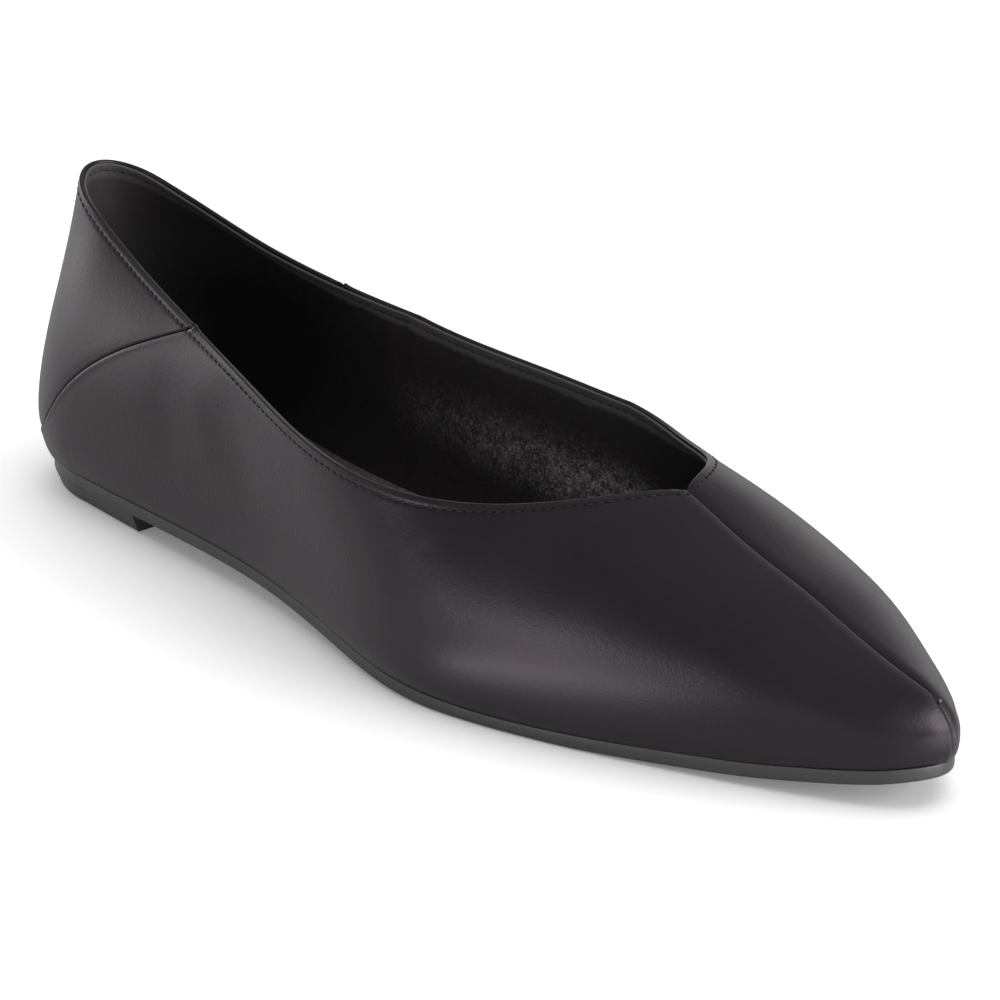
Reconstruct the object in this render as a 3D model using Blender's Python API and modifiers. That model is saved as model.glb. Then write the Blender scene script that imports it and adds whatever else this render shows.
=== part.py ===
# Right-foot leather flat shoe with a pointed toe and a V throat.
# Sizes are in millimetres and become metres when a mesh is made.
# x runs from the heel back to the toe tip, +y to the medial side, z up from the floor.

import math
from collections import namedtuple

import bmesh
import bpy
import numpy as np
from mathutils import Matrix, Vector

MM = 0.001
LATERAL = -1
MEDIAL = 1

# Thicknesses and clearances
WALL = 1.7                  # leather and lining of the upper
GAP = 0.3                   # clearance where two pieces meet
LASTING_MARGIN = 5.0        # upper turned under, inside the feather edge
MARGIN_SHARE_LIMIT = 0.6    # of the half-width, at the narrow toe
SOLE_THICKNESS = 2.5
SOLE_EDGE = 0.7             # outsole beyond the feather edge
SOLE_ROUND = 0.5            # rounding of the outsole's edge
INSOLE_THICKNESS = 1.8
INSOLE_INSET = 1.7          # insole inside the feather edge
INSOLE_ROUND = 0.4

# Throat, toe and heel of the last
THROAT_X = 191.9            # point of the V
TOE_TAPER = math.radians(47.7)
TOE_BULGE = 1.8             # toe tip beyond its feather edge
TOE_WIDEST = 6.3            # height of that bulge above the feather edge
BACK_LENGTH = 25.3          # feather edge behind the heel centre
BACK_BULGE = 2.9
BACK_WIDEST = 10.4
BACK_ROUNDNESS = 1.62
BACK_TOP_X = 3.5            # top of the heel back
BACK_TOP_HEIGHT = 66.5
UPRIGHT_LIMIT = 0.985       # largest collar half-width, as a share of the widest line

# Heel block
HEEL_BREAST_X = 48.0
HEEL_BACK_X = 3.0           # at the floor
HEEL_HALF_WIDTH = 22.5      # at the floor
HEEL_ROUND = 0.6

# Seams
SEAM_HALF_WIDTH = 1.0       # centre-front seam groove
SEAM_DEPTH = 0.5
COUNTER_STEP = 0.45         # counter panel below the quarters
COUNTER_CLEAR = 2.0         # cutter beyond the leather
COUNTER_RISE = 8.0          # cutter above the collar
COUNTER_FRONT_X = 80.0      # cutter's foremost section
COUNTER_SEAM_STEPS = 14
COUNTER_HALF_SPAN = 60.0

# Mesh density
TOE_ANGLES = (0, 9, 27, 48, 69)
HEEL_STEPS = 9
VAMP_STEPS = 11
THROAT_STEPS = 10
QUARTER_STEPS = 15
THROAT_BACK_X = 150.0       # fine sections end here
LOWER_ANGLES = (32, 60, 90)
UPPER_ROWS = 12

# Sections of the last: half-widths at the feather edge, bulge of the wall beyond it, height of the
# widest line above it, and roundness of the wall over that (2 is an ellipse)
Section = namedtuple("Section", "x lateral medial bulge widest roundness")
SECTIONS = (
    Section(28.0, 24.0, 25.1, 4.5, 12.4, 1.60),
    Section(60.0, 23.9, 22.8, 3.5, 16.0, 1.95),
    Section(95.0, 25.1, 23.4, 3.6, 14.0, 2.00),
    Section(125.0, 30.9, 29.2, 3.7, 12.5, 2.00),
    Section(150.0, 36.3, 32.5, 3.2, 12.0, 1.98),
    Section(175.0, 34.9, 33.6, 2.9, 11.3, 1.88),
    Section(195.0, 30.6, 33.6, 2.7, 11.7, 1.96),
    Section(215.0, 24.7, 28.7, 2.4, 11.7, 2.10),
    Section(235.0, 18.0, 20.2, 1.8, 9.9, 2.03),
    Section(247.0, 13.4, 13.8, 1.3, 8.0, 1.92),
    Section(255.5, 9.0, 7.9, 0.9, 6.3, 1.84),
)
HEEL_CENTRE_X = SECTIONS[0].x
TOE_CENTRE_X = SECTIONS[-1].x

# Centre line of the last in plan, which swings to the medial side at the toe
Centre = namedtuple("Centre", "x y")
CENTRE_LINE = (
    Centre(0.0, 2.0),
    Centre(70.0, -3.3),
    Centre(131.0, -2.7),
    Centre(200.0, 4.1),
    Centre(263.0, 9.8),
)

# Feather edge over the floor: heel seat, waist arch, flat tread and toe spring
Feather = namedtuple("Feather", "x height")
FEATHER_LINE = (
    Feather(0.0, 5.8),
    Feather(50.0, 7.0),
    Feather(95.0, 6.7),
    Feather(130.0, 4.4),
    Feather(160.0, 2.75),
    Feather(190.0, 2.75),
    Feather(215.0, 3.8),
    Feather(240.0, 5.9),
    Feather(263.0, 9.6),
)

# Collar edge from the heel sides to the throat; the medial edge turns a corner just behind the V
Collar = namedtuple("Collar", "x half_width height")
COLLAR = {
    LATERAL: (
        Collar(28.0, 13.4, 59.0),
        Collar(60.0, 18.7, 52.9),
        Collar(95.0, 26.8, 48.0),
        Collar(125.0, 33.4, 44.4),
        Collar(150.0, 31.2, 42.5),
        Collar(168.0, 23.2, 43.9),
        Collar(183.0, 12.7, 47.2),
        Collar(THROAT_X, 0.0, 48.0),
    ),
    MEDIAL: (
        Collar(28.0, 13.4, 59.0),
        Collar(60.0, 19.1, 52.9),
        Collar(95.0, 27.6, 48.2),
        Collar(125.0, 33.8, 44.9),
        Collar(150.0, 33.4, 43.0),
        Collar(168.0, 25.7, 44.3),
        Collar(183.0, 15.9, 47.2),
        Collar(189.6, 7.0, 47.9),
        Collar(THROAT_X, 0.0, 48.0),
    ),
}

# Ridge of the vamp from the throat to the toe
Ridge = namedtuple("Ridge", "x height")
RIDGE = (
    Ridge(THROAT_X, 48.0),
    Ridge(210.0, 39.7),
    Ridge(225.0, 34.6),
    Ridge(240.0, 28.5),
    Ridge(TOE_CENTRE_X, 23.6),
)

# Lower edge of the counter panel, seen from the side, from behind the heel to above the collar
CounterSeam = namedtuple("CounterSeam", "x height")
COUNTER_SEAM = (
    CounterSeam(-15.0, 12.5),
    CounterSeam(2.0, 12.5),
    CounterSeam(16.5, 16.0),
    CounterSeam(23.0, 24.0),
    CounterSeam(37.0, 37.0),
    CounterSeam(57.0, 48.0),
    CounterSeam(76.0, 57.0),
)

COLOURS = {
    "upper": ((0.020, 0.018, 0.020, 1.0), 0.42),
    "outsole": ((0.030, 0.029, 0.030, 1.0), 0.65),
    "heel": ((0.028, 0.027, 0.028, 1.0), 0.60),
    "insole": ((0.015, 0.014, 0.015, 1.0), 0.85),
}

Station = namedtuple("Station", "x angle")
Sizes = namedtuple(
    "Sizes",
    "x y along across feather slant floor widest widest_height crown top_angle roundness lift",
)


def column(rows, name):
    return [getattr(row, name) for row in rows]


def curve_through(xs, ys, start_slope=None, end_slope=None):
    # Cubic curve through a table's points, with free ends unless a slope is given
    xs = np.array(xs, float)
    ys = np.array(ys, float)
    steps = np.diff(xs)
    slopes = np.diff(ys) / steps
    count = len(xs)
    matrix = np.eye(count)
    right = np.zeros(count)
    for i in range(1, count - 1):
        matrix[i, i - 1:i + 2] = steps[i - 1], 2 * (steps[i - 1] + steps[i]), steps[i]
        right[i] = 6 * (slopes[i] - slopes[i - 1])
    if start_slope is not None:
        matrix[0, :2] = 2 * steps[0], steps[0]
        right[0] = 6 * (slopes[0] - start_slope)
    if end_slope is not None:
        matrix[-1, -2:] = steps[-1], 2 * steps[-1]
        right[-1] = 6 * (end_slope - slopes[-1])
    bend = np.linalg.solve(matrix, right)

    def value(x):
        x = min(max(x, xs[0]), xs[-1])
        i = min(max(int(np.searchsorted(xs, x)) - 1, 0), count - 2)
        a = (xs[i + 1] - x) / steps[i]
        b = 1 - a
        curve = (a ** 3 - a) * bend[i] + (b ** 3 - b) * bend[i + 1]
        return float(a * ys[i] + b * ys[i + 1] + curve * steps[i] ** 2 / 6)

    return value


def section_curve(name, start_slope=None, end_slope=None):
    return curve_through(column(SECTIONS, "x"), column(SECTIONS, name), start_slope, end_slope)


toe_slope = -math.tan(TOE_TAPER)
half_width_at = {
    LATERAL: section_curve("lateral", 0, toe_slope),
    MEDIAL: section_curve("medial", 0, toe_slope),
}
bulge_at = section_curve("bulge")
widest_at = section_curve("widest")
roundness_at = section_curve("roundness")
centre_at = curve_through(column(CENTRE_LINE, "x"), column(CENTRE_LINE, "y"))
feather_at = curve_through(column(FEATHER_LINE, "x"), column(FEATHER_LINE, "height"))
collar_width_at = {
    side: curve_through(column(rows, "x"), column(rows, "half_width")) for side, rows in COLLAR.items()
}
collar_height_at = {
    side: curve_through([BACK_TOP_X] + column(rows, "x"), [BACK_TOP_HEIGHT] + column(rows, "height"))
    for side, rows in COLLAR.items()
}
ridge_at = curve_through(column(RIDGE, "x"), column(RIDGE, "height"))
ridge_end_slope = ridge_at(TOE_CENTRE_X) - ridge_at(TOE_CENTRE_X - 1)


def blend(a, b, share):
    return a + (b - a) * share


def oval_radius(along, across, cos_angle, sin_angle):
    return 1 / math.hypot(cos_angle / along, sin_angle / across)


def side_stations():
    # Directions around the shoe from the toe front to the heel back, for one side
    found = [Station(TOE_CENTRE_X, math.radians(angle)) for angle in TOE_ANGLES]
    xs = [*np.linspace(TOE_CENTRE_X, THROAT_X, VAMP_STEPS + 1)]
    xs += [*np.linspace(THROAT_X, THROAT_BACK_X, THROAT_STEPS + 1)[1:]]
    xs += [*np.linspace(THROAT_BACK_X, HEEL_CENTRE_X, QUARTER_STEPS + 1)[1:]]
    found += [Station(float(x), math.pi / 2) for x in xs]
    turns = np.linspace(math.pi / 2, math.pi, HEEL_STEPS + 1)[1:]
    return found + [Station(HEEL_CENTRE_X, float(angle)) for angle in turns]


def all_sizes():
    # Once around the shoe: lateral toe to heel, then medial heel to toe
    lateral = [section_sizes(station, LATERAL) for station in side_stations()]
    medial = [section_sizes(station, MEDIAL) for station in side_stations()]
    return lateral + medial[-2:0:-1]


def heel_collar(side, along, across):
    # Rounds the heel back and runs on from the slope of the sides
    half_width = collar_width_at[side](HEEL_CENTRE_X)
    spread = collar_width_at[side](HEEL_CENTRE_X + 1) - half_width
    radius = oval_radius(HEEL_CENTRE_X - BACK_TOP_X, half_width, along, across)
    return radius * (1 + spread * along * across ** 3)


def outline_slant(x, side):
    # Distance across the shoe for each millimetre square to the outline
    step = 0.5
    slope = (half_width_at[side](x + step) - half_width_at[side](x - step)) / (2 * step)
    return math.hypot(1, slope)


def section_sizes(station, side):
    x = station.x
    along = math.cos(station.angle)
    across = math.sin(station.angle)
    front_share = along ** 2 if along > 0 else 0.0
    back_share = along ** 2 if along < 0 else 0.0
    feather = half_width_at[side](x)
    slant = outline_slant(x, side)
    bulge = blend(blend(bulge_at(x), TOE_BULGE, front_share), BACK_BULGE, back_share)
    rise = blend(blend(widest_at(x), TOE_WIDEST, front_share), BACK_WIDEST, back_share)
    roundness = blend(roundness_at(x), BACK_ROUNDNESS, back_share)
    at_toe = x == TOE_CENTRE_X and station.angle < math.pi / 2
    at_heel = x == HEEL_CENTRE_X and station.angle > math.pi / 2
    if at_toe:
        middle = (half_width_at[LATERAL](x) + half_width_at[MEDIAL](x)) / 2
        tip = blend(middle, feather, across ** 2) * math.cos(TOE_TAPER)
        straight = max(0.0, station.angle - (math.pi / 2 - TOE_TAPER))
        slant = 1 / math.cos(straight)
        feather = tip * slant
    if at_heel:
        slant = 1.0
        feather = oval_radius(BACK_LENGTH, feather, along, across)
    floor = feather_at(x + along * feather)
    widest = feather + bulge
    widest_height = floor + rise
    top_angle = math.pi / 2
    lift = 0.0
    if x >= THROAT_X:
        crown = ridge_at(x)
        lift = ridge_end_slope * along
    else:
        collar = heel_collar(side, along, across) if at_heel else collar_width_at[side](x)
        inward = min(collar / widest, UPRIGHT_LIMIT)
        top = collar_height_at[side](x + along * collar)
        crown = widest_height + (top - widest_height) / (1 - inward ** roundness) ** (1 / roundness)
        top_angle = math.acos(inward ** (roundness / 2))
    return Sizes(x, centre_at(x), along, side * across, feather, slant, floor, widest, widest_height,
                 crown, top_angle, roundness, lift)


def is_closed(size):
    return size.x >= THROAT_X


def point(size, radius, height):
    return Vector((size.x + size.along * radius, size.y + size.across * radius, height)) * MM


def feather_height(size, radius):
    return feather_at(size.x + size.along * radius)


def margin_radius(size):
    return size.feather - min(LASTING_MARGIN * size.slant, MARGIN_SHARE_LIMIT * size.feather)


def wall_point(size, angle):
    # Upper part of the wall: 0 is the widest line, a right angle the ridge
    radius = size.widest * max(math.cos(angle), 0.0) ** (2 / size.roundness)
    height = blend(size.widest_height, size.crown, math.sin(angle) ** (2 / size.roundness))
    height += size.lift * radius * (1 - (radius / size.widest) ** 2)
    return radius, height


def wall_points(size):
    # Outside of the wall from just over the feather edge to the collar or the ridge
    bulge = size.widest - size.feather
    rise = size.widest_height - size.floor
    found = []
    for degrees in LOWER_ANGLES:
        turn = math.radians(degrees)
        found.append((size.feather + bulge * math.sin(turn), size.floor + rise * (1 - math.cos(turn))))
    angles = np.linspace(0, size.top_angle, UPPER_ROWS + 1)[1:]
    if is_closed(size):
        beside_seam = math.acos((SEAM_HALF_WIDTH / size.widest) ** (size.roundness / 2))
        angles = [*np.linspace(0, beside_seam, UPPER_ROWS)[1:], math.pi / 2]
    found += [wall_point(size, angle) for angle in angles]
    if is_closed(size):
        radius, height = found[-1]
        found[-1] = (0.0, height - SEAM_DEPTH)
    if size.along == 1.0:
        found = [(max(radius - SEAM_DEPTH, 0.0), height) for radius, height in found]
    return found


def upper_column(size):
    margin = margin_radius(size)
    turned_under = [(margin, feather_height(size, margin)), (size.feather, size.floor)]
    return [point(size, *row) for row in turned_under + wall_points(size)]


def counter_column(size):
    rows = wall_points(size)
    radius, height = rows[-1]
    rows.append((radius, height + COUNTER_RISE))
    return [point(size, *row) for row in rows]


def sole_bottom(size, radius):
    return max(feather_height(size, radius) - GAP - SOLE_THICKNESS, 0.0)


def outsole_column(size):
    edge = size.feather + SOLE_EDGE * size.slant
    inside = edge - SOLE_ROUND * size.slant
    top = feather_height(size, edge) - GAP
    bottom = sole_bottom(size, edge)
    rows = [
        (0.0, sole_bottom(size, 0.0)),
        (inside, sole_bottom(size, inside)),
        (edge, bottom + SOLE_ROUND),
        (edge, top - SOLE_ROUND),
        (inside, feather_height(size, inside) - GAP),
        (0.0, feather_height(size, 0.0) - GAP),
    ]
    return [point(size, *row) for row in rows]


def heel_column(size):
    seat = size.feather + SOLE_EDGE - SOLE_ROUND
    across = abs(size.across)
    floor_edge = oval_radius(HEEL_CENTRE_X - HEEL_BACK_X, HEEL_HALF_WIDTH, size.along, across)
    rows = [
        (0.0, 0.0),
        (floor_edge - HEEL_ROUND, 0.0),
        (floor_edge, HEEL_ROUND),
        (seat, sole_bottom(size, seat) - GAP),
        (0.0, sole_bottom(size, 0.0) - GAP),
    ]
    return [point(size, *row) for row in rows]


def insole_column(size):
    # The plate lies on the lasting margin and its underside fills the space inside the margin
    edge = size.feather - INSOLE_INSET * size.slant
    fill = margin_radius(size) - GAP * size.slant
    under = WALL + GAP
    top = under + INSOLE_THICKNESS
    rows = [
        (0.0, 0.0),
        (fill, 0.0),
        (fill, under),
        (edge, under),
        (edge, top - INSOLE_ROUND),
        (edge - INSOLE_ROUND * size.slant, top),
        (0.0, top),
    ]
    return [point(size, radius, feather_height(size, radius) + height) for radius, height in rows]


def loft(name, columns, collection, around=True):
    # Skin between neighbouring columns; points that coincide become one vertex
    shape = bmesh.new()
    known = {}

    def vertex(place):
        key = tuple(round(value, 7) for value in place)
        if key not in known:
            known[key] = shape.verts.new(place)
        return known[key]

    grid = [[vertex(place) for place in places] for places in columns]
    following = grid[1:] + grid[:1] if around else grid[1:]
    for left, right in zip(grid, following):
        for row in range(len(left) - 1):
            corners = [left[row], left[row + 1], right[row + 1], right[row]]
            corners = list(dict.fromkeys(corners))
            if len(corners) > 2:
                shape.faces.new(corners)
    return finish_mesh(name, shape, collection)


def finish_mesh(name, shape, collection):
    mesh = bpy.data.meshes.new(name)
    shape.to_mesh(mesh)
    shape.free()
    made = bpy.data.objects.new(name, mesh)
    collection.objects.link(made)
    return made


def fill_open_end(made):
    shape = bmesh.new()
    shape.from_mesh(made.data)
    bmesh.ops.holes_fill(shape, edges=[edge for edge in shape.edges if edge.is_boundary])
    bmesh.ops.recalc_face_normals(shape, faces=shape.faces)
    shape.to_mesh(made.data)
    shape.free()


def add_solidify(made, thickness, offset):
    shell = made.modifiers.new("wall", "SOLIDIFY")
    shell.thickness = thickness * MM
    shell.offset = offset
    shell.use_even_offset = True
    shell.use_quality_normals = True


def add_boolean(made, operation, other):
    cut = made.modifiers.new(operation.lower(), "BOOLEAN")
    cut.operation = operation
    cut.solver = "EXACT"
    cut.object = other


def add_material(made):
    colour, roughness = COLOURS[made.name]
    material = bpy.data.materials.new(made.name)
    material.use_nodes = True
    shader = material.node_tree.nodes["Principled BSDF"]
    shader.inputs["Base Color"].default_value = colour
    shader.inputs["Roughness"].default_value = roughness
    shader.inputs["Metallic"].default_value = 0.0
    made.data.materials.append(material)


def make_counter_cutter(sizes, cutters):
    # A thin shell from the upper's own wall, kept only above the counter seam
    behind = [size for size in sizes if size.x <= COUNTER_FRONT_X]
    shell = loft("counter_shell", [counter_column(size) for size in behind], cutters, around=False)
    thickness = COUNTER_STEP + COUNTER_CLEAR
    add_solidify(shell, thickness, (COUNTER_CLEAR - COUNTER_STEP) / thickness)
    seam_at = curve_through(column(COUNTER_SEAM, "x"), column(COUNTER_SEAM, "height"))
    first = COUNTER_SEAM[0].x
    last = COUNTER_SEAM[-1].x
    above = BACK_TOP_HEIGHT + 2 * COUNTER_RISE
    outline = [(x, seam_at(x)) for x in np.linspace(first, last, COUNTER_SEAM_STEPS)]
    outline += [(last, above), (first, above)]
    shape = bmesh.new()
    flat = [shape.verts.new(Vector((x, -COUNTER_HALF_SPAN, z)) * MM) for x, z in outline]
    shape.faces.new(flat)
    pulled = bmesh.ops.extrude_face_region(shape, geom=shape.faces[:])
    moved = [part for part in pulled["geom"] if isinstance(part, bmesh.types.BMVert)]
    bmesh.ops.translate(shape, verts=moved, vec=Vector((0, 2 * COUNTER_HALF_SPAN, 0)) * MM)
    bmesh.ops.recalc_face_normals(shape, faces=shape.faces)
    side = finish_mesh("counter_outline", shape, cutters)
    add_boolean(shell, "INTERSECT", side)
    return shell


def make_upper(sizes, parts, cutters):
    upper = loft("upper", [upper_column(size) for size in sizes], parts)
    add_solidify(upper, WALL, -1)
    add_boolean(upper, "DIFFERENCE", make_counter_cutter(sizes, cutters))


def make_outsole(sizes, parts):
    loft("outsole", [outsole_column(size) for size in sizes], parts)


def make_heel(sizes, parts):
    breast = Station(HEEL_BREAST_X, math.pi / 2)
    behind = [size for size in sizes if size.x < HEEL_BREAST_X]
    ends = [section_sizes(breast, LATERAL)], [section_sizes(breast, MEDIAL)]
    heel = loft("heel", [heel_column(size) for size in ends[0] + behind + ends[1]], parts, around=False)
    fill_open_end(heel)


def make_insole(sizes, parts):
    loft("insole", [insole_column(size) for size in sizes], parts)


def new_collection(name):
    made = bpy.data.collections.new(name)
    bpy.context.scene.collection.children.link(made)
    return made


def centre_on_floor(parts, cutters):
    finished = bpy.context.evaluated_depsgraph_get()
    solids = [made.evaluated_get(finished) for made in parts.objects]
    corners = [Vector(corner) for solid in solids for corner in solid.bound_box]
    xs = [corner.x for corner in corners]
    ys = [corner.y for corner in corners]
    middle = Vector(((min(xs) + max(xs)) / 2, (min(ys) + max(ys)) / 2, 0))
    for made in [*parts.objects, *cutters.objects]:
        made.data.transform(Matrix.Translation(-middle))


def main():
    for old in list(bpy.data.objects):
        bpy.data.objects.remove(old, do_unlink=True)
    parts = new_collection("flat_shoe")
    cutters = new_collection("cutters")
    sizes = all_sizes()
    make_upper(sizes, parts, cutters)
    make_outsole(sizes, parts)
    make_heel(sizes, parts)
    make_insole(sizes, parts)
    centre_on_floor(parts, cutters)
    for cutter in cutters.objects:
        cutter.hide_render = True
        cutter.display_type = "WIRE"
    for made in parts.objects:
        made.data.shade_smooth()
        made.data.set_sharp_from_angle(angle=math.radians(40))
        add_material(made)


main()
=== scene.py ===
import math

import bpy
import numpy as np
from mathutils import Matrix, Vector


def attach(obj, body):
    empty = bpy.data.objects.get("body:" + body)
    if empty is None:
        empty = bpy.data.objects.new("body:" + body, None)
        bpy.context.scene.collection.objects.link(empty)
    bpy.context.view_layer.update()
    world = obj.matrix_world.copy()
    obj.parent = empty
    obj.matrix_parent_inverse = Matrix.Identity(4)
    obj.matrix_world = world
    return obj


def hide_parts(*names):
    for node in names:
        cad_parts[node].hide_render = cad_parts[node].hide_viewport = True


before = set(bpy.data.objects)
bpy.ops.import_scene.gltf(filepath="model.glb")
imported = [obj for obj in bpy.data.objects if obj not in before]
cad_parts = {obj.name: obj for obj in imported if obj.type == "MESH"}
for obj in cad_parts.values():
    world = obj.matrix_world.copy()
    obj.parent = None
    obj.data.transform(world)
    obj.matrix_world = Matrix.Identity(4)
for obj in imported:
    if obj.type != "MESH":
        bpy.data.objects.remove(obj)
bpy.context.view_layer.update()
mm = 0.001
lateral, medial = -1, 1

# the last in millimetres, x from the heel back, the same sizes as the solids
last = {
    "middle": (131.478, -0.439),    # where the shared frame's origin lies
    "throat": 191.9,
    "toeTaper": math.radians(47.7),
    "toeBulge": 1.8,
    "toeWidest": 6.3,
    "backLength": 25.3,
    "backBulge": 2.9,
    "backWidest": 10.4,
    "backRoundness": 1.62,
    "backTop": (3.5, 66.5),
    "uprightLimit": 0.985,
    "throatSoft": 4.5,              # how softly the ridge runs into the throat
    "throatReach": 26.0, "throatFade": 12.0,
    "backSoft": 8.0,                # how softly the sides turn into the back
    "backFrom": 85.0, "backReach": 14.0,
    "backLow": 9.0, "backFade": 12.0,           # not at the feather edge
    "sections": (                   # x, lateral, medial, bulge, widest, roundness
        (28.0, 24.0, 25.1, 4.5, 12.4, 1.60),
        (60.0, 23.9, 22.8, 3.5, 16.0, 1.95),
        (95.0, 25.1, 23.4, 3.6, 14.0, 2.00),
        (125.0, 30.9, 29.2, 3.7, 12.5, 2.00),
        (150.0, 36.3, 32.5, 3.2, 12.0, 1.98),
        (175.0, 34.9, 33.6, 2.9, 11.3, 1.88),
        (195.0, 30.6, 33.6, 2.7, 11.7, 1.96),
        (215.0, 24.7, 28.7, 2.4, 11.7, 2.10),
        (235.0, 18.0, 20.2, 1.8, 9.9, 2.03),
        (247.0, 13.4, 13.8, 1.3, 8.0, 1.92),
        (255.5, 9.0, 7.9, 0.9, 6.3, 1.84),
    ),
    "centre": ((0.0, 2.0), (70.0, -3.3), (131.0, -2.7), (200.0, 4.1), (263.0, 9.8)),
    "feather": (                    # x, height over the floor
        (0.0, 5.8), (50.0, 7.0), (95.0, 6.7), (130.0, 4.4), (160.0, 2.75),
        (190.0, 2.75), (215.0, 3.8), (240.0, 5.9), (263.0, 9.6),
    ),
    "collar": {                     # x, half-width, height
        lateral: (
            (28.0, 13.4, 59.0), (60.0, 18.7, 52.9), (95.0, 26.8, 48.0), (125.0, 33.4, 44.4),
            (150.0, 31.2, 42.5), (168.0, 23.2, 43.9), (183.0, 12.7, 47.2), (191.9, 0.0, 48.0),
        ),
        medial: (
            (28.0, 13.4, 59.0), (60.0, 19.1, 52.9), (95.0, 27.6, 48.2), (125.0, 33.8, 44.9),
            (150.0, 33.4, 43.0), (168.0, 25.7, 44.3), (182.0, 16.4, 47.2), (187.8, 8.8, 48.5),
            (191.9, 0.0, 48.0),
        ),
    },
    "ridge": ((191.9, 48.0), (210.0, 39.7), (225.0, 34.6), (240.0, 28.5), (255.5, 23.6)),
    "counter": (                    # lower edge of the counter panel from the side
        (-15.0, 12.5), (2.0, 12.5), (16.5, 16.0), (23.0, 24.0), (37.0, 37.0), (57.0, 48.0), (76.0, 57.0),
    ),
}


def curveThrough(xs, ys, startSlope=None, endSlope=None):
    xs, ys = np.array(xs, float), np.array(ys, float)
    steps = np.diff(xs)
    slopes = np.diff(ys) / steps
    n = len(xs)
    left, right = np.eye(n), np.zeros(n)
    for i in range(1, n - 1):
        left[i, i - 1:i + 2] = steps[i - 1], 2 * (steps[i - 1] + steps[i]), steps[i]
        right[i] = 6 * (slopes[i] - slopes[i - 1])
    if startSlope is not None:
        left[0, :2] = 2 * steps[0], steps[0]
        right[0] = 6 * (slopes[0] - startSlope)
    if endSlope is not None:
        left[-1, -2:] = steps[-1], 2 * steps[-1]
        right[-1] = 6 * (endSlope - slopes[-1])
    bend = np.linalg.solve(left, right)

    def at(x):
        x = np.clip(np.asarray(x, float), xs[0], xs[-1])
        i = np.clip(np.searchsorted(xs, x) - 1, 0, n - 2)
        a = (xs[i + 1] - x) / steps[i]
        b = 1 - a
        swing = (a ** 3 - a) * bend[i] + (b ** 3 - b) * bend[i + 1]
        return a * ys[i] + b * ys[i + 1] + swing * steps[i] ** 2 / 6

    return at


def tableCurve(rows, column, startSlope=None, endSlope=None):
    return curveThrough([r[0] for r in rows], [r[column] for r in rows], startSlope, endSlope)


heelX, toeX = last["sections"][0][0], last["sections"][-1][0]
toeSlope = -math.tan(last["toeTaper"])
halfWidthAt = {
    lateral: tableCurve(last["sections"], 1, 0, toeSlope),
    medial: tableCurve(last["sections"], 2, 0, toeSlope),
}
bulgeAt = tableCurve(last["sections"], 3)
widestAt = tableCurve(last["sections"], 4)
roundnessAt = tableCurve(last["sections"], 5)
centreAt = tableCurve(last["centre"], 1)
featherAt = tableCurve(last["feather"], 1)
collarWidthAt = {side: tableCurve(rows, 1) for side, rows in last["collar"].items()}
backTopRow = ((last["backTop"][0], 0.0, last["backTop"][1]),)
collarHeightAt = {side: tableCurve(backTopRow + rows, 2) for side, rows in last["collar"].items()}
collarSpread = {side: float(at(heelX + 1) - at(heelX)) for side, at in collarWidthAt.items()}
ridgeAt = tableCurve(last["ridge"], 1)
counterAt = tableCurve(last["counter"], 1)
ridgeEndSlope = float(ridgeAt(toeX) - ridgeAt(toeX - 1))


def ovalRadius(along, across, cosine, sine):
    return 1 / np.hypot(cosine / along, sine / across)


def bodyCrown(side, x):
    widest = halfWidthAt[side](x) + bulgeAt(x)
    widestZ, roundness = featherAt(x) + widestAt(x), roundnessAt(x)
    inward = np.minimum(np.maximum(collarWidthAt[side](x), 1e-6) / widest, last["uprightLimit"])
    openCrown = widestZ + (collarHeightAt[side](x) - widestZ) / (1 - inward ** roundness) ** (1 / roundness)
    return np.where(x >= last["throat"] - 1e-6, ridgeAt(x), openCrown)


def softCrown(side, x):             # the vamp's ridge runs softly into the throat
    reach = np.linspace(-10, 10, 21)
    weight = np.exp(-(reach / last["throatSoft"]) ** 2)
    mean = (bodyCrown(side, x[:, None] + reach) * weight).sum(1) / weight.sum()
    share = np.clip((last["throatReach"] - np.abs(x - last["throat"])) / last["throatFade"], 0, 1)
    return bodyCrown(side, x) + (mean - bodyCrown(side, x)) * share


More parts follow.
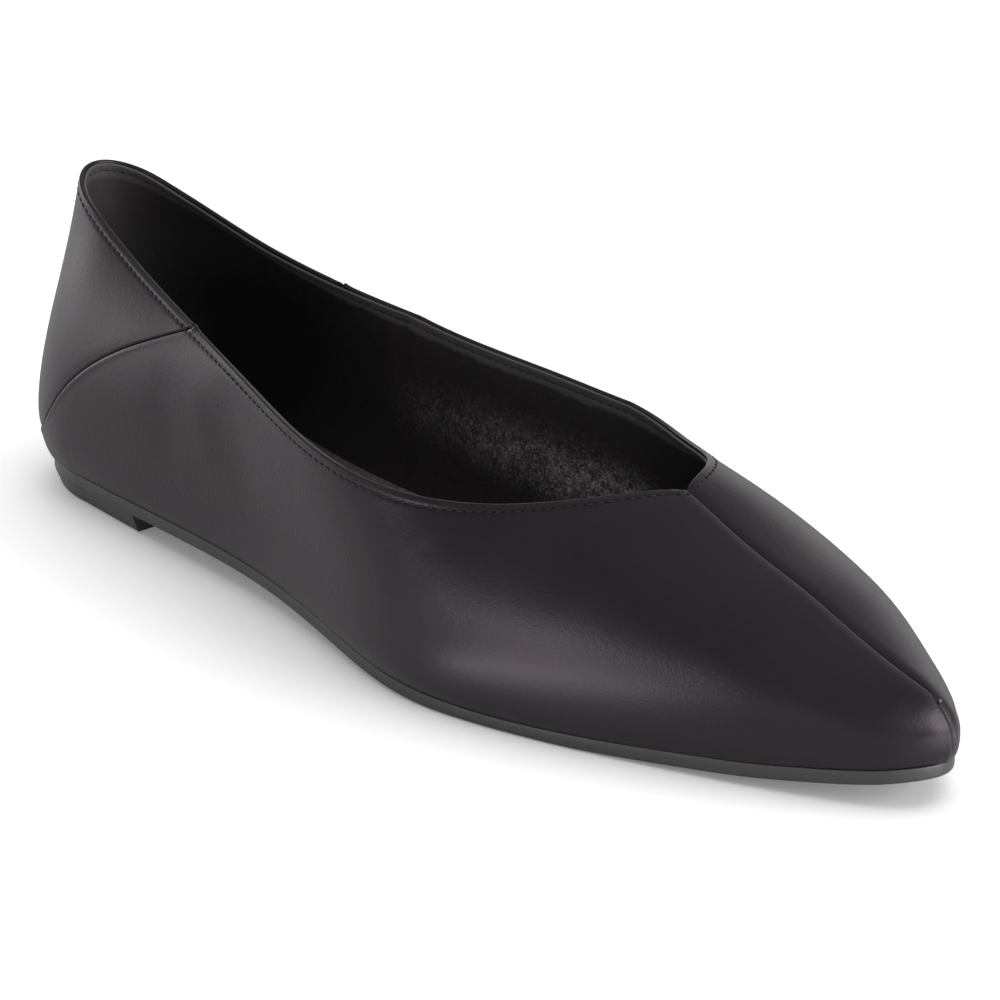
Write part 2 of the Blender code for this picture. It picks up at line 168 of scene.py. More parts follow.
def sizesAt(side, x, angle):        # one set of section sizes for each station
    along, across = np.cos(angle), np.sin(angle)
    front = np.where(along > 1e-9, along ** 2, 0.0)
    back = np.where(along < -1e-9, along ** 2, 0.0)
    half = halfWidthAt[side](x)
    bulge = bulgeAt(x) + (last["toeBulge"] - bulgeAt(x)) * front
    bulge = bulge + (last["backBulge"] - bulge) * back
    rise = widestAt(x) + (last["toeWidest"] - widestAt(x)) * front
    rise = rise + (last["backWidest"] - rise) * back
    roundness = roundnessAt(x) + (last["backRoundness"] - roundnessAt(x)) * back
    atToe, atHeel = front > 0, back > 0
    middle = (halfWidthAt[lateral](toeX) + halfWidthAt[medial](toeX)) / 2
    tip = (middle + (half - middle) * across ** 2) * math.cos(last["toeTaper"])
    straight = np.where(atToe, np.maximum(0, angle - (math.pi / 2 - last["toeTaper"])), 0)
    slope = halfWidthAt[side](x + 0.5) - halfWidthAt[side](x - 0.5)
    slant = np.where(atToe, 1 / np.cos(straight), np.where(atHeel, 1.0, np.hypot(1, slope)))
    feather = np.where(atToe, tip / np.cos(straight), half)
    feather = np.where(atHeel, ovalRadius(last["backLength"], half, along, across), feather)
    floor = featherAt(x + along * feather)
    widest, widestZ = feather + bulge, floor + rise
    closed = x >= last["throat"] - 1e-6
    collar = np.maximum(collarWidthAt[side](np.minimum(x, last["throat"])), 1e-6)
    heelCollar = ovalRadius(heelX - last["backTop"][0], collar, along, across)
    heelCollar = heelCollar * (1 + collarSpread[side] * along * across ** 3)    # no kink at the sides
    collar = np.where(atHeel, heelCollar, collar)
    inward = np.minimum(collar / widest, last["uprightLimit"])
    top = collarHeightAt[side](x + along * collar)
    crownOpen = widestZ + (top - widestZ) / (1 - inward ** roundness) ** (1 / roundness)
    return {
        "x": x, "y": centreAt(x), "along": along, "across": side * across,
        "feather": feather, "slant": slant, "floor": floor, "bulge": bulge, "rise": rise,
        "widest": widest, "widestZ": widestZ, "roundness": roundness, "closed": closed,
        "crown": np.where(atHeel, crownOpen, np.where(atToe, ridgeAt(x), softCrown(side, x))),
        "topAngle": np.where(closed, math.pi / 2, np.arccos(inward ** (roundness / 2))),
        "lift": np.where(atToe, ridgeEndSlope * along, 0.0),
    }


def spot(s, radius, height):        # points at a radius from the last's centre line
    s = {k: np.asarray(v)[..., None] if np.ndim(v) else v for k, v in s.items()}
    return np.stack([s["x"] + s["along"] * radius, s["y"] + s["across"] * radius, height + 0 * radius], -1)


def sectionLines(s, tuck=3.0, lower=70, upper=260):
    c = {k: np.asarray(v)[:, None] if np.ndim(v) else v for k, v in s.items()}
    turn = np.linspace(0, math.pi / 2, lower)[None]
    r1 = c["feather"] + c["bulge"] * np.sin(turn)
    z1 = c["floor"] + c["rise"] * (1 - np.cos(turn))
    angle = c["topAngle"] * np.linspace(0, 1, upper)[None, 1:]
    power = 2 / c["roundness"]
    r2 = c["widest"] * np.maximum(np.cos(angle), 0) ** power
    z2 = c["widestZ"] + (c["crown"] - c["widestZ"]) * np.sin(angle) ** power
    z2 = z2 + c["lift"] * r2 * (1 - (r2 / c["widest"]) ** 2)
    under = c["feather"] - np.minimum(tuck * c["slant"], 0.6 * c["feather"])
    radius = np.concatenate([under, r1, r2], 1)
    height = np.concatenate([c["floor"] + 0 * under, z1, z2], 1)
    return softenBack(spot(s, radius, height))


def softenBack(lines):              # even out the turn from the sides into the back
    near = np.nonzero(lines[:, 0, 0] < last["backFrom"])[0]
    if len(near) < 20:
        return lines
    for row in range(lines.shape[1]):
        path = lines[near, row]
        arc = arcOf(path[None])[0]
        turn = np.interp(-heelX, -path[:, 0], arc)
        share = np.exp(-((arc - turn) / last["backReach"]) ** 4)
        share = share * np.clip((path[:, 2] - last["backLow"]) / last["backFade"], 0, 1)
        lines[near, row] += (smoothAlong(path, last["backSoft"], 0.5) - path) * share[:, None]
    return lines


def arcOf(lines):
    step = np.linalg.norm(np.diff(lines, axis=1), axis=2)
    return np.concatenate([np.zeros((len(lines), 1)), np.cumsum(step, 1)], 1)


def pick(lines, arcs):              # points at given arc lengths along each line
    own = arcOf(lines)
    return np.array([
        np.stack([np.interp(want, have, line[:, k]) for k in range(3)], -1)
        for line, have, want in zip(lines, own, arcs)
    ])


def unit(v):
    return v / np.maximum(np.linalg.norm(v, axis=-1, keepdims=True), 1e-9)


def outward(points, side):
    across = np.gradient(points, axis=0)
    up = np.gradient(points, axis=1)
    return unit(side * np.cross(across, up)), unit(up)


def sideStations(toeAngles, backEnd, bodyStep=1.0, heelSteps=46, firstX=None, fine=()):
    toe = np.radians(np.array(toeAngles, float))
    front = np.linspace(toeX, last["throat"], int((toeX - last["throat"]) / bodyStep) + 1)
    back = np.linspace(last["throat"], heelX, int((last["throat"] - heelX) / bodyStep) + 1)[1:]
    back = np.unique(np.round(np.concatenate([back, fine]), 3))[::-1]
    heel = np.radians(np.linspace(90, backEnd, heelSteps))[1:]
    x = np.concatenate([np.full(len(toe), toeX), front, back, np.full(len(heel), heelX)])
    angle = np.concatenate([toe, np.full(len(front) + len(back), math.pi / 2), heel])
    if firstX is not None:
        keep = x <= firstX
        x, angle = x[keep], angle[keep]
    return x, angle


def nearest(points, line):          # distance to a line and the run along it
    flat = points.reshape(-1, 3)
    best, runs, run = np.full(len(flat), np.inf), np.zeros(len(flat)), 0.0
    for a, b in zip(line[:-1], line[1:]):
        d = b - a
        length = math.sqrt(d @ d)
        t = np.clip((flat - a) @ d / max(length ** 2, 1e-12), 0, 1)
        gap = ((flat - a - t[:, None] * d) ** 2).sum(1)
        closer = gap < best
        best[closer], runs[closer] = gap[closer], run + t[closer] * length
        run += length
    return np.sqrt(best).reshape(points.shape[:-1]), runs.reshape(points.shape[:-1])


def bell(value, width):
    return np.exp(-(value / width) ** 2)


def smoothStep(value):
    value = np.clip(value, 0, 1)
    return value * value * (3 - 2 * value)


def smoothAlong(path, width, step=0.25):        # a line of points evened out over a width
    arc = arcOf(path[None])[0]
    even = np.arange(0, arc[-1] + step, step)
    weight = bell(np.arange(-3 * width, 3 * width + 0.1, step), width)
    weight, pad = weight / weight.sum(), len(weight) // 2
    soft = np.empty_like(path)
    for k in range(3):
        line = np.pad(np.interp(even, arc, path[:, k]), pad, mode="reflect", reflect_type="odd")
        soft[:, k] = np.interp(arc, even, np.convolve(line, weight, "valid")[:len(even)])
    return soft


def deselect():
    if bpy.context.object and bpy.context.object.mode != "OBJECT":
        bpy.ops.object.mode_set(mode="OBJECT")
    bpy.ops.object.select_all(action="DESELECT")


def placeGrid(name, points, marks=None):        # a primitive grid laid over the given rows of points
    nu, nv = points.shape[:2]
    deselect()
    bpy.ops.mesh.primitive_grid_add(x_subdivisions=nu - 1, y_subdivisions=nv - 1, size=2)
    piece = bpy.context.object
    piece.name = piece.data.name = name
    flat = np.empty(nu * nv * 3)
    piece.data.vertices.foreach_get("co", flat)
    flat = flat.reshape(-1, 3)
    i = np.rint((flat[:, 0] + 1) / 2 * (nu - 1)).astype(int)
    j = np.rint((flat[:, 1] + 1) / 2 * (nv - 1)).astype(int)
    origin = np.array([*last["middle"], 0.0])
    piece.data.vertices.foreach_set("co", ((points[i, j] - origin) * mm).ravel())
    for mark, values in (marks or {}).items():
        layer = piece.data.attributes.new(mark, "FLOAT", "POINT")
        layer.data.foreach_set("value", np.ascontiguousarray(values[i, j], dtype=np.float32))
    bpy.ops.object.mode_set(mode="EDIT")
    bpy.ops.mesh.select_all(action="SELECT")
    bpy.ops.mesh.remove_doubles(threshold=2e-6)
    bpy.ops.mesh.normals_make_consistent(inside=False)
    bpy.ops.object.mode_set(mode="OBJECT")
    return piece


def finishPiece(piece, material, node=None, smooth=50):
    deselect()
    piece.select_set(True)
    bpy.context.view_layer.objects.active = piece
    bpy.ops.object.shade_smooth_by_angle(angle=math.radians(smooth))
    piece.data.materials.clear()
    piece.data.materials.append(material)
    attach(piece, "root")
    if node:
        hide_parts(node)
    print("piece", piece.name, len(piece.data.polygons), "faces")
    return piece


# leather panels

leather = {
    "thickness": 1.0,
    "seamGap": 0.07,                # panel edge to the middle of the centre seam
    "seamRound": 0.70,              # turned-in edge of a closed seam
    "counterRows": (0.0, 0.08, 0.18, 0.32, 0.5, 0.75, 1.0, 1.4, 1.9),
    "startRows": (0.0, 1.8, 2.5, 2.9, 3.1, 3.5, 4.2, 5.2),
    "edgeRows": (4.6, 3.8, 3.2, 2.7, 2.3, 2.0, 1.75, 1.5, 1.25, 1.0, 0.75, 0.5, 0.32, 0.18, 0.08, 0.0),
    "bodyRows": 46,
    "edgeTurn": (18, 42, 66, 90, 114, 138, 162),
    "toeAngles": (0.4, 0.9, 1.5, 2.2, 3.0, 4.0, 5.5, 7.5, 10, 13, 17, 21, 26, 31, 37, 43, 50, 57, 65, 73, 82),
    "backEnd": 179.6,
    "toeFrom": 212.0,
    "toeSoft": 3.6,                 # rounding at the tip
    "turnSoft": 7.5,                # and where the sides turn in, this far from the tip
    "turnFrom": 9.0,
    "softFrom": 227.0, "softFade": 13.0,
    "toeSwing": 0.9,                # front of the centre seam towards the medial side
    "swingTop": 23.5, "swingFade": 12.0, "swingAhead": 5.5, "swingWidth": 7.5,
    "cornerX": tuple(np.arange(60.0, 73.0, 0.25)),  # columns where the counter meets the collar
    "counterSide": {lateral: 0.0, medial: 2.6},     # the counter reaches further on the medial side
    "counterFoot": 20.0, "counterFade": 30.0,       # only above its foot
    "counterEnd": 75.0,
    "counterLeast": 0.15,
    "seamBump": 0.7,                # thicker edge where the counter seam runs over it
    "bumpWidth": 1.6,
    "stitchDrop": 1.55,
    "stitchPitch": 2.1,
}


def counterMeets(lines, side):      # arc length at which each line meets the counter seam
    arcs = arcOf(lines)
    stretch = np.clip((lines[..., 2] - leather["counterFoot"]) / leather["counterFade"], 0, 1)
    above = lines[..., 2] - counterAt(lines[..., 0] - stretch * leather["counterSide"][side])
    meets = np.full(len(lines), np.inf)
    for k, row in enumerate(above):
        up = np.nonzero((row[:-1] < 0) & (row[1:] >= 0))[0]
        if len(up) and lines[k, up[0], 0] < leather["counterEnd"]:
            i = up[0]
            t = row[i] / (row[i] - row[i + 1])
            meets[k] = arcs[k, i] + t * (arcs[k, i + 1] - arcs[k, i])
    return meets


def seamLines():
    out = {"counter": {}, "back": None}
    tops = {}
    for side in (lateral, medial):
        x, angle = sideStations((0,), 180, bodyStep=1.0)
        s = sizesAt(side, x, angle)
        lines = sectionLines(s)
        tops[side] = lines[~s["closed"], -1]
        meets = counterMeets(lines, side)
        has = np.isfinite(meets)
        out["counter"][side] = pick(lines[has], meets[has][:, None])[:, 0]
        if side == lateral:
            crown = lines[1:][s["closed"][1:], -1][::-1]
            out["centre"] = np.concatenate([crown, lines[0, ::-4]])
            out["back"] = lines[-1, ::4]
    apex = out["centre"][:1]
    out["collar"] = np.concatenate([apex, tops[lateral], tops[medial][-2::-1], apex])
    return out


seams = seamLines()


# soft creases and dents: side, start and end in the side view, width and depth
creases = (
    (lateral, (62, 37), (65, 29), 6.5, 0.30),
    (lateral, (86, 39), (93, 30), 7.0, 0.24),
    (lateral, (74, 40), (78, 31), 3.5, -0.10),
    (lateral, (156, 38.5), (164, 39.5), 1.1, 0.06),
    (lateral, (158, 36), (167, 37), 1.1, 0.07),
    (lateral, (155, 33.5), (163, 34.5), 1.1, 0.06),
    (lateral, (150, 38), (155, 29), 4.0, 0.12),
    (medial, (70, 38), (74, 28), 7.0, 0.30),
    (medial, (146, 38), (150, 31), 1.8, 0.12),
    (medial, (152, 39), (156, 32), 1.8, 0.10),
)


def creaseDepth(points, side):
    depth = np.zeros(points.shape[:-1])
    for creaseSide, start, end, width, deep in creases:
        if creaseSide != side:
            continue
        a, b = np.array(start, float), np.array(end, float)
        p = points[..., [0, 2]] - a
        t = np.clip(p @ (b - a) / ((b - a) @ (b - a)), 0, 1)
        gap = np.linalg.norm(p - t[..., None] * (b - a), axis=-1)
        depth += deep * bell(gap, width)
    return depth


def turnedEdge(gap):                # a seam's edge rolls inwards
    r = leather["seamRound"]
    inside = np.clip(r - gap, 0, r)
    return np.sqrt(r * r - inside ** 2) - r


# heights on the leather: rise, distance from the seam or edge, width
relief = {
    "stitches": (-0.10, leather["stitchDrop"], 0.42),
    "fold": (0.07, 0.75, 0.45),
    "counterEdge": (-0.16, 0.0, 1.6),
    "overCounter": (0.10, 0.8, 0.7),
    "raisedSeam": (0.20, 0.7, 0.65),
    "loweredSeam": (-0.5, 0.0, 1.5), "loweredTip": 0.6,
    "frontFrom": toeX + 2.5, "frontTop": 24.0, "frontFade": 2.0,     # the seam down the front of the toe
    "frontFoot": 15.0, "footFade": 4.0,
    "tipFrom": 246.0, "tipFade": 10.0,
}


def ridge(gap, name):
    rise, off, width = relief[name]
    return rise * bell(gap - off, width)


def fade(value, length):
    return np.clip(value / length, 0, 1)


def panelRelief(points, side, counter=False):
    centre, _ = nearest(points, seams["centre"])
    collar, run = nearest(points, seams["collar"])
    back, _ = nearest(points, seams["back"])
    around = np.minimum(*(nearest(points, seams["counter"][k])[0] for k in (lateral, medial)))
    height = ridge(collar, "stitches") + ridge(collar, "fold") + turnedEdge(around)
    paintedShade = rim = 0 * collar
    if counter:
        height += ridge(around, "counterEdge")
    else:
        x, z = points[..., 0], points[..., 2]
        front = fade(x - relief["frontFrom"], relief["frontFade"])
        front = front * fade(relief["frontTop"] - z, relief["frontFade"])
        kept = 1 - front * fade(relief["frontFoot"] - z, relief["footFade"])
        sunk = fade(x - relief["tipFrom"], relief["tipFade"])
        height += turnedEdge(centre) * kept + turnedEdge(back) - creaseDepth(points, side)
        height += ridge(around, "overCounter")
        if side == lateral:         # the lateral edge stands up, the medial one lies under it
            height += ridge(centre, "raisedSeam")
            # painted shade: a dark line in the seam down the toe front; painted highlight: a light line along
            # the raised lateral edge
            paintedShade = kept * front * bell(centre, 0.35)
            rim = 0.8 * (1 - front) * bell(centre - 0.8, 0.85)
        else:
            height += ridge(centre, "loweredSeam") * (1 - relief["loweredTip"] * sunk)
            # painted shade: a dark band beside the centre seam and in the seam down the toe front; painted
            # highlight on the medial edge down the toe front
            paintedShade = kept * (front * bell(centre, 0.5) + (1 - front) * bell(centre, 1.35))
            rim = kept * front * bell(centre - 1.1, 0.4)
    gap = np.minimum(centre, around if counter else np.minimum(around, back))
    marks = {"seamGap": gap, "edgeGap": collar, "edgeRun": run, "paintedSeamShade": paintedShade, "paintedSeamHighlight": rim}
    return height, marks


def softenTip(both, tip):           # a line round the toe: soft at the tip, softer where the sides turn in
    arc = arcOf(both[None])[0]
    run = np.abs(arc - arc[tip])
    ahead = both[:, 0] > toeX
    width = min(leather["toeSoft"], 0.4 * run[ahead].max()) if ahead.any() else 0.0
    soft = smoothAlong(both, width) if width > 0.3 else both
    wide = smoothAlong(both, leather["turnSoft"])
    share = smoothStep((both[:, :1] - leather["softFrom"]) / leather["softFade"])
    turn = smoothStep(run[:, None] / leather["turnFrom"] - 1)
    return both + (soft + (wide - soft) * turn - both) * share


def softenToe(base):                # even out the toe's curve from the sides into the tip
    near = base[:, 0, 0] > leather["toeFrom"]
    axis = centreAt(toeX)
    for row in range(base.shape[1]):
        path = base[near, row]
        mirror = path * np.array([1, -1, 1]) + np.array([0, 2 * axis, 0])
        base[near, row] = softenTip(np.concatenate([mirror[::-1], path]), len(path))[len(path):]
    low = smoothStep((leather["swingTop"] - base[near, :, 2]) / leather["swingFade"])
    ahead = smoothStep((base[near, :, 0] - toeX) / leather["swingAhead"])
    beside = bell(base[near, :, 1] - axis, leather["swingWidth"])
    base[near, :, 1] += leather["toeSwing"] * low * ahead * beside
    return base


def bandPoints(lines, length, side, edgeBulge, counter=False):
    # outer skin from the bottom to the top edge, rounded edge, inner skin back down
    edge = np.array(leather["edgeRows"])
    start = np.array(leather["counterRows" if counter else "startRows"])
    room = np.minimum(1.0, length / (2.2 * (edge[0] + start[-1])))[:, None]
    low = start[None] * (room if counter else 1.0 + 0 * room)
    high = length[:, None] - edge[None] * np.minimum(1.0, 0.45 * (length[:, None] - low[:, -1:]) / edge[0])
    share = np.linspace(0, 1, leather["bodyRows"] + 2)[1:-1][None]
    middle = low[:, -1:] + (high[:, :1] - low[:, -1:]) * share
    base = pick(lines, np.concatenate([low, middle, high], 1))
    height, marks = panelRelief(base, side, counter)
    if not counter:
        base = softenToe(base)
    normal, up = outward(base, side)
    outer = base + normal * height[..., None]
    inner = base - normal * leather["thickness"]
    centre, half = (outer[:, -1] + inner[:, -1]) / 2, (outer[:, -1] - inner[:, -1]) / 2
    reach = up[:, -1] * np.linalg.norm(half, axis=1, keepdims=True) * edgeBulge[:, None]
    turns = np.radians(leather["edgeTurn"])
    edgeRows = np.stack([centre + half * math.cos(a) + reach * math.sin(a) for a in turns], 1)
    rows = np.arange(base.shape[1])[::-1]
    points = np.concatenate([outer, edgeRows, inner[:, rows], outer[:, :1]], 1)
    spread = np.concatenate([np.arange(base.shape[1]), np.full(len(turns), base.shape[1] - 1), rows, [0]])
    points = np.concatenate([outer[:1, spread], points, outer[-1:, spread]])       # flat ends
    return points, {k: np.concatenate([v[:1], v, v[-1:]])[:, spread] for k, v in marks.items()}


def makeSidePanel(name, side, material):
    x, angle = sideStations(leather["toeAngles"], leather["backEnd"], fine=leather["cornerX"])
    s = sizesAt(side, x, angle)
    lines = sectionLines(s)
    full = arcOf(lines)[:, -1]
    meets = counterMeets(lines, side)
    length = np.where(s["closed"], full - leather["seamGap"], full)
    underCounter = meets < full
    length = np.where(underCounter, meets - leather["seamGap"], length)
    corner = x[underCounter].max()
    bump = leather["seamBump"] * bell(x - corner, leather["bumpWidth"])
    edgeBulge = np.where(s["closed"] | underCounter, 0.0, 1.0 + bump)
    points, marks = bandPoints(lines, length, side, edgeBulge)
    piece = placeGrid(name, points, marks)
    return finishPiece(piece, material, "upper")


def makeCounter(name, material):
    cuts, bulges = [], []
    for side in (lateral, medial):
        x, angle = sideStations((), 180, 0.8, firstX=leather["counterEnd"], fine=leather["cornerX"])
        s = sizesAt(side, x, angle)
        lines = sectionLines(s)
        arcs = arcOf(lines)
        meets = counterMeets(lines, side)
        keep = np.isfinite(meets) & (arcs[:, -1] - meets > leather["counterLeast"])
        wanted = np.linspace(meets[keep] + leather["seamGap"], arcs[keep, -1], 160, axis=1)
        cuts.append(pick(lines[keep], wanted))
        bulges.append(1 + leather["seamBump"] * bell(x[keep] - x[keep].max(), leather["bumpWidth"]))
    cut = np.concatenate([cuts[0], cuts[1][-2::-1]], 0)
    edgeBulge = np.concatenate([bulges[0], bulges[1][-2::-1]])
    length = arcOf(cut)[:, -1]
    points, marks = bandPoints(cut, length, lateral, edgeBulge, True)
    return finishPiece(placeGrid(name, points, marks), material, "upper")


# lining inside the leather

lining = {
    "offset": 1.06,
    "thickness": 0.6,
    "rows": 64,
    "crowding": 1.35,               # rows closer together near the edge
    "foot": 3.0,
    "outerRows": 10,
    "edgeTurn": (30, 60, 90, 120, 150),
    "toeEase": 0.6,                 # further from the leather in the toe
    "easeFrom": 236.0, "easeFade": 10.0,
    "drop": 0.22,                   # below the leather's edge
    "seamX": 84.0,                  # where the medial lining is joined
    "stitches": (0.10, 0.5),        # depth, width
    "joint": (0.30, 1.4),
    "overlap": (0.20, 1.8), "overlapX": 87.2,
    "toeAngles": (0, 6, 12, 18, 25, 32, 40, 48, 56, 64, 73, 82),
}


def dent(gap, name):
    depth, width = lining[name]
    return depth * bell(gap, width)


def makeLining(name, material):
    halves, gaps, runs = [], [], []
    for side in (lateral, medial):
        x, angle = sideStations(lining["toeAngles"], 180, bodyStep=1.2, heelSteps=34)
        s = sizesAt(side, x, angle)
        lines = sectionLines(s)
        full = arcOf(lines)[:, -1]
        length = np.where(s["closed"], full, full - lining["drop"])
        share = 1 - (1 - np.linspace(0, 1, lining["rows"])) ** lining["crowding"]
        base = pick(lines, lining["foot"] + (length[:, None] - lining["foot"]) * share[None])
        normal, up = outward(base, side)
        normal[s["closed"], -1] = (0, 0, 1)
        gap, run = nearest(base, seams["collar"])
        dip = dent(gap - leather["stitchDrop"], "stitches")
        if side == medial:
            dip = dip + dent(base[..., 0] - lining["seamX"], "joint")
            dip = dip - dent(base[..., 0] - lining["overlapX"], "overlap")
        ease = lining["toeEase"] * fade(base[..., 0] - lining["easeFrom"], lining["easeFade"])
        offset = (lining["offset"] + ease)[..., None]
        outer = base - normal * offset
        inner = base - normal * (offset + lining["thickness"] - dip[..., None])
        half = lining["thickness"] / 2
        centre = (outer[:, -1] + inner[:, -1]) / 2
        openEdge = np.where(s["closed"], 0.0, 1.0)[:, None]
        edge = [centre + (normal[:, -1] * math.cos(a) + up[:, -1] * math.sin(a) * openEdge) * half
                for a in np.radians(lining["edgeTurn"])]
        rows = np.linspace(0, lining["rows"] - 1, lining["outerRows"]).astype(int)
        halves.append(np.concatenate([outer[:, rows], np.stack(edge, 1), inner[:, ::-1], outer[:, :1]], 1))
        turned = np.full(len(edge), lining["rows"] - 1)
        spread = np.concatenate([rows, turned, np.arange(lining["rows"])[::-1], [0]])
        gaps.append(gap[:, spread])
        runs.append(run[:, spread])
    closed = s["closed"]
    rim = slice(len(rows) - 1, len(rows) + len(edge) + 1)
    mean = (halves[0][closed][:, rim] + halves[1][closed][:, rim]) / 2
    for half in halves:
        half[closed, rim] = mean
    for end in (0, -1):
        seam = (halves[0][end] + halves[1][end]) / 2
        halves[0][end] = halves[1][end] = seam
    whole, gap, run = (np.concatenate([pair[0], pair[1][-2::-1]], 0) for pair in (halves, gaps, runs))
    piece = placeGrid(name, whole, {"edgeGap": gap, "edgeRun": run})
    return finishPiece(piece, material)


# edge row of thread round the collar, outside and inside

thread = {
    "length": 1.5, "width": 0.42, "depth": 0.3,
    "outside": 0.02, "inside": 1.50,
    "knot": (0.42, 1.7, 2.6),       # end of the seam's thread at the toe: scale, place
    "knotAhead": 3.5,
    "knotShift": (0, 0.6, 0.1),
}


def stitchRow(inset):
    spots = []
    for side in (lateral, medial):
        x, angle = sideStations((), 180, bodyStep=0.8)
        s = sizesAt(side, x, angle)
        use = ~s["closed"] & (s["x"] < last["throat"] - 0.5)
        lines = sectionLines(s)[use]
        full = arcOf(lines)[:, -1]
        back = np.linspace(0.2, 7.0, 35)
        rows = pick(lines, full[:, None] - back[None])
        gap, _ = nearest(rows, seams["collar"])
        down = np.array([np.interp(leather["stitchDrop"], g, back) for g in gap])
        near = pick(lines, (full - down)[:, None] + np.array([[-0.4, 0.0, 0.4]]))
        normal, _ = outward(near, side)
        place = near[:, 1] - normal[:, 1] * inset
        spots.append((place, normal[:, 1], nearest(near[:, 1], seams["collar"])[1]))
    place, normal, run = (np.concatenate([a, b[-2::-1]]) for a, b in zip(*spots))
    order = np.argsort(run)
    place, normal, run = place[order], normal[order], run[order]
    pitch = leather["stitchPitch"]
    wanted = np.arange(math.ceil(run[0] / pitch) + 0.5, run[-1] / pitch - 0.5) * pitch

    def at(values, where):
        return np.stack([np.interp(where, run, values[:, k]) for k in range(3)], -1)

    along = unit(at(place, wanted + 0.3) - at(place, wanted - 0.3))
    up = unit(at(normal, wanted))
    across = np.cross(up, along)
    return at(place, wanted), np.stack([along, across, up], 1)


def makeStitches(name, material):
    deselect()
    bpy.ops.mesh.primitive_uv_sphere_add(segments=8, ring_count=6, radius=1)
    piece = bpy.context.object
    bpy.ops.object.mode_set(mode="EDIT")
    bpy.ops.mesh.select_all(action="SELECT")
    bpy.ops.transform.rotate(value=math.pi / 2, orient_axis="Y", center_override=(0, 0, 0))
    bpy.ops.object.mode_set(mode="OBJECT")
    shape = np.array([v.co[:] for v in piece.data.vertices])
    shape[:, 0] = np.sign(shape[:, 0]) * np.abs(shape[:, 0]) ** 0.8
    shape *= np.array([thread["length"], thread["width"], thread["depth"]]) / 2
    faces = [tuple(p.vertices) for p in piece.data.polygons]
    points, allFaces = [], []
    for inset in (thread["outside"], thread["inside"]):
        for place, axes in zip(*stitchRow(inset)):
            start = len(points) * len(shape)
            points.append(place + shape @ axes)
            allFaces += [tuple(start + v for v in f) for f in faces]
    along = np.abs(seams["centre"][:, 0] - toeX - thread["knotAhead"])
    knot = seams["centre"][np.argmin(along)] + np.array(thread["knotShift"])
    allFaces += [tuple(len(points) * len(shape) + v for v in f) for f in faces]
    points.append(knot + shape * np.array(thread["knot"]))
    origin = np.array([*last["middle"], 0.0])
    cloth = bpy.data.meshes.new(name)
    cloth.from_pydata(((np.concatenate(points) - origin) * mm).tolist(), [], allFaces)
    pale = np.zeros(len(points) * len(shape), dtype=np.float32)
    pale[-len(shape):] = 1
    cloth.attributes.new("pale", "FLOAT", "POINT").data.foreach_set("value", pale)
    old, piece.data, piece.name = piece.data, cloth, name
    bpy.data.meshes.remove(old)
    return finishPiece(piece, material, smooth=80)


# sole, heel and insole

sole = {
    "gap": 0.1, "thickness": 2.7, "edge": 0.7, "round": 0.55, "topRound": 0.28, "lip": 0.55, "bodyStep": 1.5,
    "tipFrom": 250.0, "tipFade": 12.0,
    "tipEdge": 0.4, "tipLip": 0.6,              # less edge and lip at the tip
    "square": 0.03, "squareFade": 4.0,          # square over the heel block
    "toeAngles": (0, 4, 8, 12, 16, 20, 25, 30, 35, 40, 46, 52, 58, 64, 70, 76, 83),
}
heel = {"breast": 48.0, "back": 2.3, "halfWidth": 23.3, "round": 0.6, "seam": 0.02}
insole = {"thickness": 1.8, "inset": 1.45, "round": 0.7, "crown": 0.5, "under": 2.0}


def soleBottom(s, radius):
    return np.maximum(featherAt(s["x"] + s["along"] * radius) - sole["gap"] - sole["thickness"], 0.0)


def soleTop(s, radius):
    return featherAt(s["x"] + s["along"] * radius) - sole["gap"]


def ringPoints(stations, rows):     # rows give radius and height for each station, both sides
    halves = []
    for side in (lateral, medial):
        s = sizesAt(side, *stations)
        pairs = rows(s)
        radius = np.stack([p[0] + 0 * s["x"] for p in pairs], 1)
        height = np.stack([p[1] + 0 * s["x"] for p in pairs], 1)
        halves.append(spot(s, radius, height))
    for end in (0, -1):
        if abs(stations[1][end] - math.pi / 2) > 1e-6:
            halves[1][end] = halves[0][end]
    ring = np.concatenate([halves[0], halves[1][-2::-1]], 0)
    return softenRing(ring) if stations[1][0] < 0.1 else ring


def softenRing(ring):               # the toe turned as softly as the upper
    ahead = ring[:, :, 0].max(1) > leather["toeFrom"]
    own = int(np.argmin(ahead))
    other = len(ring) - int(np.argmin(ahead[::-1]))
    for row in range(1, ring.shape[1] - 1):
        both = np.concatenate([ring[other:-1, row], ring[:own, row]])
        tip = len(both) - own
        soft = softenTip(both, tip)
        ring[other:-1, row], ring[:own, row] = soft[:tip], soft[tip:]
    ring[-1] = ring[0]
    return ring


